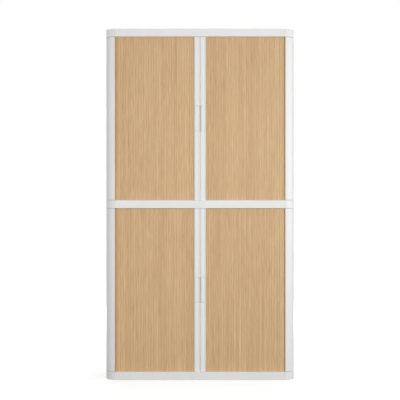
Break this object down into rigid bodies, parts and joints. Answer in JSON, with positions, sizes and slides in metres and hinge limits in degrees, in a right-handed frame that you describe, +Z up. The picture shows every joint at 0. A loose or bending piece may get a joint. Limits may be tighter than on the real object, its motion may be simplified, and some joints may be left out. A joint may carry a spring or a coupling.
{
  "type": "tambour door cabinet",
  "caption": "Tall two-tier cupboard with sliding tambour curtains that meet at the centre and run round the corners into side pockets.",
  "frame": {"origin": "on the floor, at the centre of the cabinet's plan", "axes": "+Z up, the doors face -Y, +X to the right as seen from the front"},
  "size_m": [1.1, 0.415, 2.04],
  "materials": {
    "white_plastic": "satin moulded white plastic with a very fine grain",
    "panel_plastic": "flat off-white plastic panel",
    "track_plastic": "smooth pale grey sliding plastic",
    "oak_look_slats": "light wood-look foil with fine upright grain on plastic slats"
  },
  "bodies": {
    "carcass": {"deck_bottom": "white_plastic", "front_rail_bottom": "white_plastic", "corner_block_bottom_front_left": "white_plastic", "corner_block_bottom_front_right": "white_plastic", "corner_block_bottom_rear_left": "white_plastic", "corner_block_bottom_rear_right": "white_plastic", "deck_middle": "white_plastic", "front_rail_middle": "white_plastic", "corner_block_middle_front_left": "white_plastic", "corner_block_middle_front_right": "white_plastic", "corner_block_middle_rear_left": "white_plastic", "corner_block_middle_rear_right": "white_plastic", "deck_top": "white_plastic", "front_rail_top": "white_plastic", "corner_block_top_front_left": "white_plastic", "corner_block_top_front_right": "white_plastic", "corner_block_top_rear_left": "white_plastic", "corner_block_top_rear_right": "white_plastic", "corner_post_lower_front_left": "white_plastic", "corner_post_lower_front_right": "white_plastic", "corner_post_lower_rear_left": "white_plastic", "corner_post_lower_rear_right": "white_plastic", "back_panel_lower": "panel_plastic", "inner_back_lower": "panel_plastic", "guide_track_lower_floor": "track_plastic", "guide_track_lower_ceiling": "track_plastic", "side_panel_lower_left": "panel_plastic", "pocket_liner_lower_left": "panel_plastic", "curtain_lower_left": "oak_look_slats", "side_panel_lower_right": "panel_plastic", "pocket_liner_lower_right": "panel_plastic", "curtain_lower_right": "oak_look_slats", "shelf_lower_1": "panel_plastic", "shelf_lower_2": "panel_plastic", "corner_post_upper_front_left": "white_plastic", "corner_post_upper_front_right": "white_plastic", "corner_post_upper_rear_left": "white_plastic", "corner_post_upper_rear_right": "white_plastic", "back_panel_upper": "panel_plastic", "inner_back_upper": "panel_plastic", "guide_track_upper_floor": "track_plastic", "guide_track_upper_ceiling": "track_plastic", "side_panel_upper_left": "panel_plastic", "pocket_liner_upper_left": "panel_plastic", "curtain_upper_left": "oak_look_slats", "side_panel_upper_right": "panel_plastic", "pocket_liner_upper_right": "panel_plastic", "curtain_upper_right": "oak_look_slats", "shelf_upper_1": "panel_plastic", "shelf_upper_2": "panel_plastic"},
    "door_lower_left": {"lead_stile_lower_left": "white_plastic", "handle_plate_lower_left": "white_plastic"},
    "door_lower_right": {"lead_stile_lower_right": "white_plastic", "handle_plate_lower_right": "white_plastic"},
    "door_upper_left": {"lead_stile_upper_left": "white_plastic", "handle_plate_upper_left": "white_plastic"},
    "door_upper_right": {"lead_stile_upper_right": "white_plastic", "handle_plate_upper_right": "white_plastic"}
  },
  "joints": [
    {"name": "door_lower_left_slide", "type": "slide", "parent": "carcass", "child": "door_lower_left", "axis": [-1, 0, 0], "range_m": [0, 0.46], "deforming": ["curtain_lower_left"]},
    {"name": "door_lower_right_slide", "type": "slide", "parent": "carcass", "child": "door_lower_right", "axis": [1, 0, 0], "range_m": [0, 0.46], "deforming": ["curtain_lower_right"]},
    {"name": "door_upper_left_slide", "type": "slide", "parent": "carcass", "child": "door_upper_left", "axis": [-1, 0, 0], "range_m": [0, 0.46], "deforming": ["curtain_upper_left"]},
    {"name": "door_upper_right_slide", "type": "slide", "parent": "carcass", "child": "door_upper_right", "axis": [1, 0, 0], "range_m": [0, 0.46], "deforming": ["curtain_upper_right"]}
  ]
}
